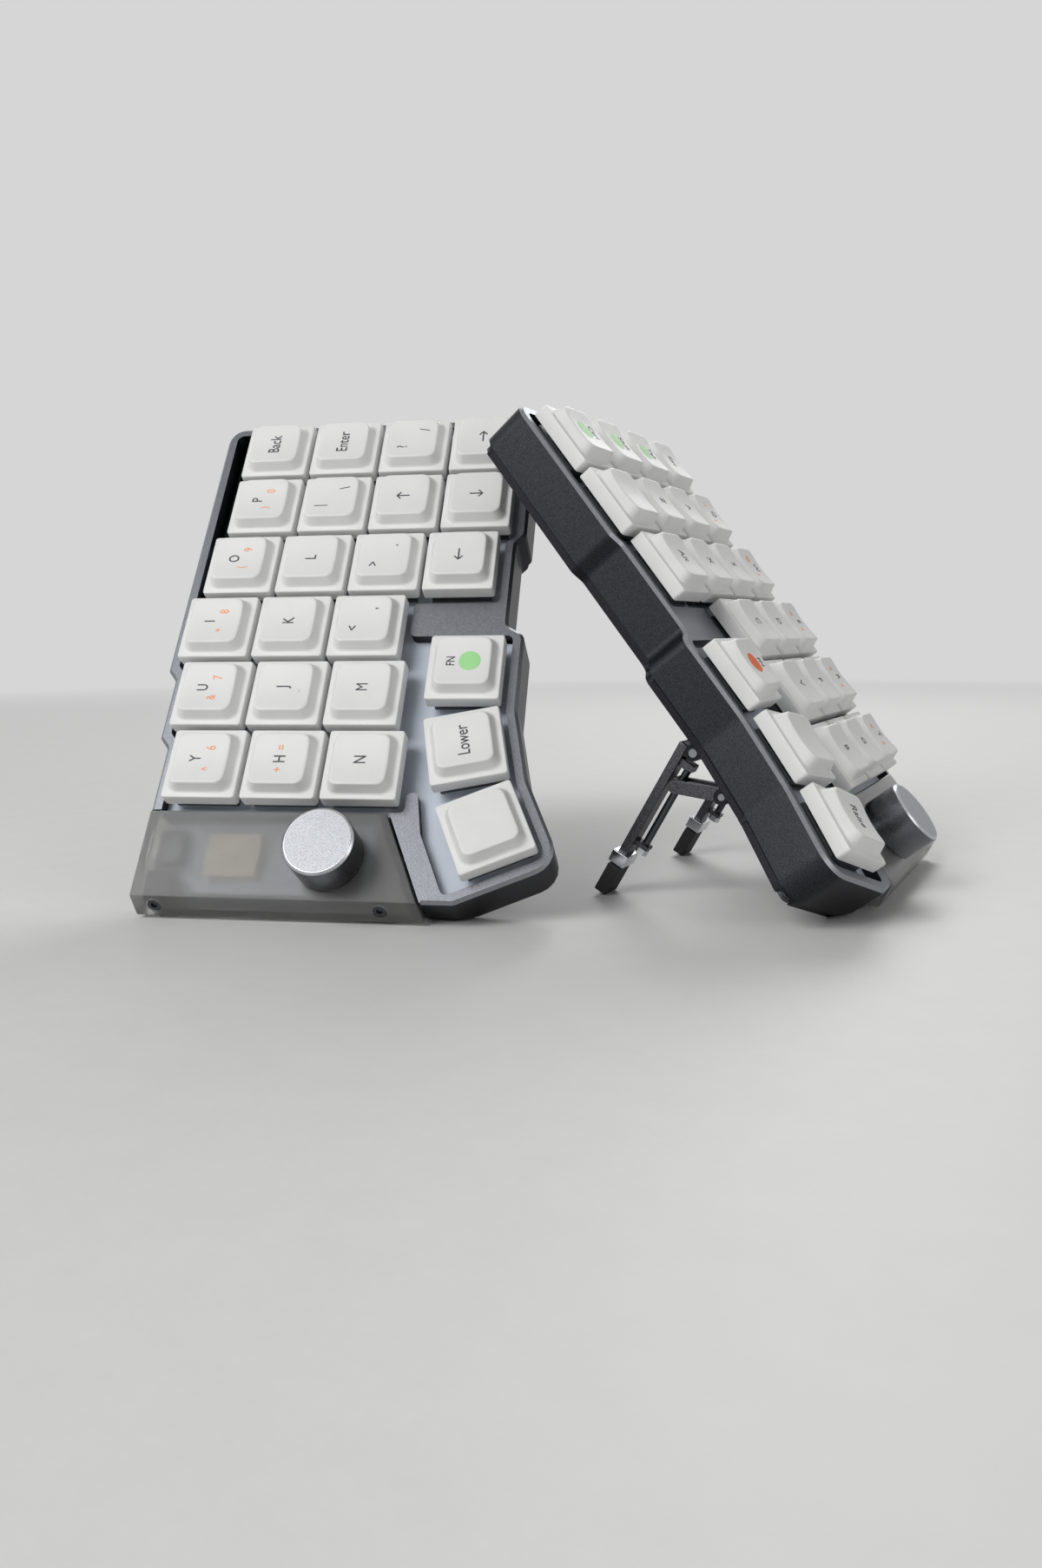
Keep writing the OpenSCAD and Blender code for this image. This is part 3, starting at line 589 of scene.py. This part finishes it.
def disc(width):
    """A round spot of ink."""
    bm = bmesh.new()
    bmesh.ops.create_cone(bm, cap_ends=True, segments=48, radius1=width / 2, radius2=width / 2,
                          depth=2 * INK_T)
    return bm


def arrow(turn):
    """An arrow from a thin shaft and two strokes at its tip."""
    bm = bmesh.new()
    x, y = BARB_AT
    for length, at, angle in ((SHAFT, (0, 0, 0), 0), (BARB, (x, y, 0), 45),
                              (BARB, (-x, y, 0), 135)):
        stroke = Matrix.Rotation(math.radians(angle), 4, "Z") @ Matrix.Diagonal(
            (STROKE, length, 2 * INK_T, 1))
        bmesh.ops.create_cube(bm, size=1.0, matrix=Matrix.Translation(at) @ stroke)
    bmesh.ops.rotate(bm, verts=bm.verts, cent=(0, 0, 0),
                     matrix=Matrix.Rotation(math.radians(turn), 3, "Z"))
    return bm


print("ink", 2 * INK_T, "mm thick")

# %% [markdown]
# ## What each key says
# A mark is what it shows, its place on the cap to the right and to the rear, its
# height and its ink. Small functions make the usual sets, such as a letter with a
# digit and a sign beside it.


# %% Legends
def letter(text, height=2.9):
    return [(text, 0, 0, height, DARK)]


def with_digit(text, digit, sign):
    return [(text, 0, 1.3, 2.8, DARK), (digit, 2.7, -2.0, 2.4, ORANGE),
            (sign, -2.8, -1.4, 2.2, ORANGE)]


def pair(upper, lower):
    return [(upper, -2.6, 2.5, 2.8, DARK), (lower, 3.0, -3.0, 2.8, DARK)]


def pointing(turn):
    return [(turn, 0, 0, SHAFT, DARK)]


def spotted(text, ink, height=2.1):
    return [(text, 0, 2.9, height, DARK), (None, 0, -1.6, 5.2, ink)]


LEGENDS = {
    "right": {
        "column_1_keys": [with_digit("Y", "6", "^"),
                          letter("H") + [("=", 2.9, 0, 2.4, ORANGE), ("+", -2.8, 0, 2.4, ORANGE)],
                          letter("N")],
        "column_2_keys": [with_digit("U", "7", "&"), letter("J"), letter("M")],
        "column_3_keys": [with_digit("I", "8", "*"), letter("K"), pair("<", ",")],
        "column_4_keys": [with_digit("O", "9", "("), letter("L"), pair(">", "."), pointing(90)],
        "column_5_keys": [with_digit("P", "0", ")"), pair("|", "\\"), pointing(0), pointing(180)],
        "column_6_keys": [letter("Back", 3.1), letter("Enter", 3.1), pair("?", "/"),
                          pointing(-90)],
        "thumb_key_1": [spotted("FN", GREEN)], "thumb_key_2": [letter("Lower")],
        "thumb_key_3": [[]]},
    "left": {
        "column_1_keys": [with_digit("T", "5", "%"), letter("G"), letter("B")],
        "column_2_keys": [with_digit("R", "4", "$"), letter("F"), letter("V")],
        "column_3_keys": [with_digit("E", "3", "#"), letter("D"), letter("C")],
        "column_4_keys": [with_digit("W", "2", "@"), letter("S"), letter("X"), letter("Alt")],
        "column_5_keys": [with_digit("Q", "1", "!"), letter("A"), letter("Z"), []],
        "column_6_keys": [letter("Esc"), spotted("Tab", GREEN, 2.6), spotted("Shift", GREEN, 2.6),
                          spotted("Ctrl", GREEN, 2.6)],
        "thumb_key_1": [spotted("FN", AMBER)], "thumb_key_2": [[]],
        "thumb_key_3": [letter("Raise")]}}


def mark_mesh(shown, height):
    """The flat mesh of one mark: a spot, an arrow or words."""
    if shown is None:
        return disc(height)
    return arrow(shown) if isinstance(shown, (int, float)) else lettering(shown, height)


def print_marks(bm, marks, spot, side):
    """Set the marks of one key onto its cap, in the flat half."""
    for shown, right, rear, height, ink in marks:
        part = mark_mesh(shown, height)
        bmesh.ops.translate(part, vec=(right, rear, 0), verts=part.verts)
        if side == "left":
            bmesh.ops.scale(part, vec=(-1, 1, 1), verts=part.verts)
            bmesh.ops.reverse_faces(part, faces=part.faces)
        for vert in part.verts:
            vert.co.z += CAP_TOP - scoop_depth(vert.co.x) + INK_LIFT
        for face in part.faces:
            face.material_index = ink
        bmesh.ops.transform(part, matrix=spot, verts=part.verts)
        mesh = bpy.data.meshes.new("mark")
        part.to_mesh(mesh)
        part.free()
        bm.from_mesh(mesh)
        bpy.data.meshes.remove(mesh)


for side, rows in LEGENDS.items():
    for name, keys in rows.items():
        if not any(keys):
            continue
        bm = bmesh.new()
        for spot, marks in zip(PLACES[name], keys):
            print_marks(bm, marks, spot, side)
        place(bm, side)
        node = f"{side}_{name}"
        add_piece(f"{node}_legends", bm, INKS, node, hides=False, even=False)
print("legends on", sum(any(k) for r in LEGENDS.values() for k in r.values()), "key groups")

# %% [markdown]
# ## The case
# The case is milled from one block: walls, a flat frame round the keys, and the
# divider beside the thumb keys. The CAD shape is right, so a copy of it is enough.
# The frame's outer top edge gets the bright cut of the real one, a plain bevel with
# its own finish, and the flat top gets the case metal painted a shade lighter, as
# painted light. The edges round the keys and beside the cover stay crisp.

# %% Case
FRAME_TOP, INNER_DEPTH, RIM_CUT = 13.5, 9.7, 0.75
SAME_Z, UPRIGHT = 0.02, 0.99


def outer_rim(edge):
    """Is this edge between the frame's top and an outer wall?"""
    on_top = all(abs(v.co.z - FRAME_TOP) < SAME_Z for v in edge.verts)
    if len(edge.link_faces) != 2 or not on_top:
        return False
    depth = min(v.co.z for f in edge.link_faces for v in f.verts)
    walls = [f for f in edge.link_faces if abs(f.normal.z) < UPRIGHT]
    if len(walls) != 1 or depth > INNER_DEPTH:
        return False
    facing, spot = walls[0].normal, (edge.verts[0].co + edge.verts[1].co) / 2
    beside_cover = facing.x < -0.97 if spot.y > 0 else facing.y > 0.5
    return not beside_cover


for side in SIDES:
    node = f"{side}_case"
    bm = copy_node(node, side)
    rim = [e for e in bm.edges if outer_rim(e)]
    soften(bm, rim, RIM_CUT, segments=1, finish=1)
    # The flat top faces get the painted-light copy of the case metal.
    for face in bm.faces:
        if face.normal.z > UPRIGHT and face.calc_center_median().z > FRAME_TOP - SAME_Z:
            face.material_index = 2
    place(bm, side)
    shade(bm, 30)
    add_piece(f"{node}_frame", bm, [case_metal, edge_metal, frame_top_painted_light], node)
    print(node, "rim edges", len(rim))

# %% [markdown]
# ## Plain metal and plastic copies
# The bottom plate, the frosted cover and the parts of the legs have the right shape
# in the CAD model too. Real edges are never perfectly sharp, and a thin bevel that
# catches the light says so. Only the longer edges get it, so small holes stay crisp.

# %% Softened copies
COPIES = (
    ("bottom_plate", "base", plate_metal, "plate_metal", 0.2, 4.0),
    ("end_cover", "shell", frosted_plastic, "frosted_plastic", 0.3, 4.0),
    ("legs", "arms", leg_metal, "leg_metal", 0.3, 2.2),
    ("leg_struts", "forks", leg_metal, "leg_metal", 0.2, 2.2),
    ("leg_sliders", "blocks", leg_metal, "leg_metal", 0.2, 2.5),
    ("leg_collars", "rings", bright_steel, "bright_steel", 0.35, 2.5),
    ("leg_feet", "pads", foot_rubber, "foot_rubber", 0.4, 3.0))
for side in SIDES:
    for part, word, finish, slot, width, longer in COPIES:
        node = f"{side}_{part}"
        bm = copy_node(node, side)
        edges = corners(bm, longer)
        soften(bm, edges, width, segments=3)
        place(bm, side)
        shade(bm, 32)
        add_piece(f"{node}_{word}", bm, [finish], node)
        print(node, "softened along", len(edges), "edges")

# %% [markdown]
# ## The knob
# The knob is turned on a lathe, so it is spun here too: a profile of a few points,
# from the hollow underside round the wall to the middle of the top, goes once round
# the axis. Three finishes meet on it: a satin side painted darker than its top, as
# painted shade, a bright cut ring, and a blasted top.

# %% Knob
KNOB_AT, KNOB_Z, KNOB_TOP, KNOB_R = (-21.3, -32.2), 14.1, 23.0, 8.0
BORE_R, BORE_TOP, HOLLOW_R, HOLLOW_TOP = 3.05, KNOB_TOP - 1.4, 4.5, KNOB_Z + 2.1
KNOB_PROFILE = (
    (0, BORE_TOP), (BORE_R, BORE_TOP), (BORE_R, HOLLOW_TOP), (HOLLOW_R, HOLLOW_TOP),
    (HOLLOW_R, KNOB_Z), (KNOB_R - 0.25, KNOB_Z), (KNOB_R, KNOB_Z + 0.25),
    (KNOB_R, KNOB_TOP - 0.62), (KNOB_R - 0.1, KNOB_TOP - 0.5), (KNOB_R - 0.55, KNOB_TOP - 0.05),
    (KNOB_R - 0.7, KNOB_TOP), (0, KNOB_TOP))
RING_H = 0.55


def knob_mesh():
    """The knob's profile spun round its axis, with a finish for each part."""
    bm = bmesh.new()
    points = [bm.verts.new((r, 0, z)) for r, z in KNOB_PROFILE]
    edges = [bm.edges.new(p) for p in zip(points, points[1:])]
    bmesh.ops.spin(bm, geom=points + edges, cent=(0, 0, 0), axis=(0, 0, 1), dvec=(0, 0, 0),
                   angle=2 * math.pi, steps=96, use_merge=True, use_duplicate=False)
    bmesh.ops.remove_doubles(bm, verts=bm.verts, dist=1e-4)
    bmesh.ops.recalc_face_normals(bm, faces=bm.faces)
    for face in bm.faces:
        height = face.calc_center_median().z
        if height > KNOB_TOP - 0.01:
            face.material_index = 2
        elif height > KNOB_TOP - RING_H and face.normal.z > 0.1:
            face.material_index = 1
    bmesh.ops.translate(bm, vec=(*KNOB_AT, 0), verts=bm.verts)
    return bm


for side in SIDES:
    bm = knob_mesh()
    place(bm, side)
    shade(bm, 30)
    add_piece(f"{side}_knob_turned", bm, [knob_side_painted_shade, ring_metal, knob_face],
              f"{side}_knob")
print("knobs", 2 * KNOB_R, "mm across")

# %% [markdown]
# ## Small parts with two finishes
# Some CAD nodes hold two things of different finish: the controller board with the
# tin over its radio module, and the guide rods with their bright nuts. Copies of
# them are coloured face by face. The screws keep one finish, and their heads get a
# socket for the key.

# %% Controller board, guide rods and screws
ABOVE_TRAY, WIDER_THAN_ROD = 5.9, 1.1
HEAD_AREA, HEAD_SIDES, SOCKET_RIM, SOCKET_DEPTH = 6, 12, 0.75, 0.45
HINGE_X, HINGE_DROP, LEG_ROWS = 17.5, 2.2, (-9.0, -62.0)
LEG_ANGLE = {"right": math.radians(60.18), "left": math.radians(67.59)}


def leg_frame(side, row):
    """Matrix from a leg's own frame, along its rod, to the flat half."""
    return Matrix.Translation((HINGE_X, row, -HINGE_DROP)) @ Matrix.Rotation(
        math.pi - LEG_ANGLE[side], 4, "Y")


def off_rod(side, point):
    """Distance of a point from the nearer guide rod's axis."""
    row = min(LEG_ROWS, key=lambda y: abs(point.y - y))
    local = leg_frame(side, row).inverted() @ point
    return math.hypot(local.y, local.z)


for side in SIDES:
    bm = copy_node(f"{side}_controller_board", side)
    for face in bm.faces:
        face.material_index = int(max(v.co.z for v in face.verts) > ABOVE_TRAY)
    place(bm, side)
    shade(bm)
    add_piece(f"{side}_controller_board_dressed", bm, [pale_plate, module_shield],
              f"{side}_controller_board")
    bm = copy_node(f"{side}_leg_rods", side)
    for face in bm.faces:
        face.material_index = int(max(off_rod(side, v.co) for v in face.verts) > WIDER_THAN_ROD)
    place(bm, side)
    shade(bm)
    add_piece(f"{side}_leg_rods_dressed", bm, [dark_steel, bright_steel],
              f"{side}_leg_rods")
    bm = copy_node(f"{side}_screws", side)
    heads = [f for f in bm.faces if f.calc_area() > HEAD_AREA and len(f.verts) > HEAD_SIDES]
    bmesh.ops.inset_individual(bm, faces=heads, thickness=SOCKET_RIM, use_even_offset=True)
    for face in bmesh.ops.extrude_discrete_faces(bm, faces=heads)["faces"]:
        bmesh.ops.translate(bm, vec=-SOCKET_DEPTH * face.normal, verts=face.verts)
    place(bm, side)
    shade(bm)
    add_piece(f"{side}_screws_socketed", bm, [dark_steel], f"{side}_screws")
    print(side, "screw heads", len(heads))

# %% [markdown]
# ## Finishes for the other CAD nodes
# What is left has the right shape as it is, mostly inside the case: plates, boards,
# switch housings, pins. Those nodes stay, and only their material slots change.

# %% CAD nodes that stay
STAYING = {"switch_plate": pale_plate, "switches": housing_plastic, "main_board": board,
           "battery": foil, "encoder": dark_steel, "encoder_shaft": steel,
           "charging_port": dark_steel, "power_switch": black_plastic, "leg_pins": steel}
for side in SIDES:
    for part, finish in STAYING.items():
        for slot in nodes[f"{side}_{part}"].material_slots:
            slot.material = finish
print(len(STAYING) * 2, "nodes keep their CAD shape")

# %% [markdown]
# ## Floor and light
# The floor is a plain pale disc that reaches far past the picture. Far out it turns
# into the pale world behind it, which is what the camera, metal and glass see. As
# light on the object that world is much weaker. The rest is a plain studio: a large
# soft key light from the front left, a weaker one from the right, and one from
# behind that draws the edges. The lamps are low enough that white caps don't clip.

# %% Floor
BACKDROP, BACKDROP_LIGHT = linear(222, 222, 222), 0.92
FLOOR_R, FADE_NEAR, FADE_FAR = 9.0, 0.3, 1.3
floor_material = moulded("floor_paint", linear(222, 222, 221), linear(226, 226, 225), 0.55,
                         1.5, 0.01)


def seen_rays(tree):
    """1 for rays from the camera, metal and glass, 0 for those that only bring light."""
    wire = Wire(tree)
    camera_ray, glossy_ray, glass_ray = (wire.node("LightPath", out=f"Is {kind} Ray")
                                         for kind in ("Camera", "Glossy", "Transmission"))
    return steep(camera_ray + glossy_ray + glass_ray, 0.0, 1.0)


def fade_out(tree):
    """Far from the object, the floor that is seen turns into the backdrop."""
    paint = Wire(tree, tree.nodes["Principled BSDF"].outputs[0])
    spot = paint.node("TexCoord", out="Object")
    reach = spot.node("VectorMath", {"operation": "LENGTH"}, {0: spot}, out="Value")
    glow = spot.node("Emission", None, {"Color": BACKDROP, "Strength": BACKDROP_LIGHT})
    far = steep(reach, FADE_NEAR, FADE_FAR) * seen_rays(tree)
    mixed = spot.node("MixShader", None, {0: far, 1: paint, 2: glow})
    feed(tree.nodes["Material Output"], "Surface", mixed)


fade_out(floor_material.node_tree)
bm = bmesh.new()
bmesh.ops.create_circle(bm, cap_ends=True, segments=96, radius=FLOOR_R)
floor_mesh = bpy.data.meshes.new("floor")
bm.to_mesh(floor_mesh)
bm.free()
floor_mesh.materials.append(floor_material)
floor = bpy.data.objects.new("floor", floor_mesh)
bpy.context.scene.collection.objects.link(floor)
print("floor", 2 * FLOOR_R, "m across")

# %% Light
AMBIENT = 0.24
LAMPS = (("key_light", (-0.55, -0.75, 0.75), (0, 0, 0.05), 0.6, 8.1),
         ("fill_light", (0.8, -0.5, 0.45), (0, 0, 0.05), 0.5, 1.1),
         ("back_light", (0.15, 0.8, 0.7), (0, 0, 0.06), 0.5, 4.0))
world = bpy.data.worlds.new("studio")
bpy.context.scene.world = world
world.use_nodes = True
sky = world.node_tree.nodes["Background"]
sky.inputs["Color"].default_value = BACKDROP
feed(sky, "Strength", AMBIENT + (BACKDROP_LIGHT - AMBIENT) * seen_rays(world.node_tree))


def soft_lamp(name, at, aim, size, power):
    """A square soft box, in metres and watts, that looks at a point."""
    data = bpy.data.lights.new(name, "AREA")
    data.energy, data.size = power, size
    lamp = bpy.data.objects.new(name, data)
    bpy.context.scene.collection.objects.link(lamp)
    lamp.location = at
    lamp.rotation_euler = (Vector(aim) - Vector(at)).to_track_quat("-Z", "Y").to_euler()


for lamp_values in LAMPS:
    soft_lamp(*lamp_values)
bpy.context.scene.view_settings.view_transform = "Standard"
print(len(LAMPS), "lamps and a pale world")
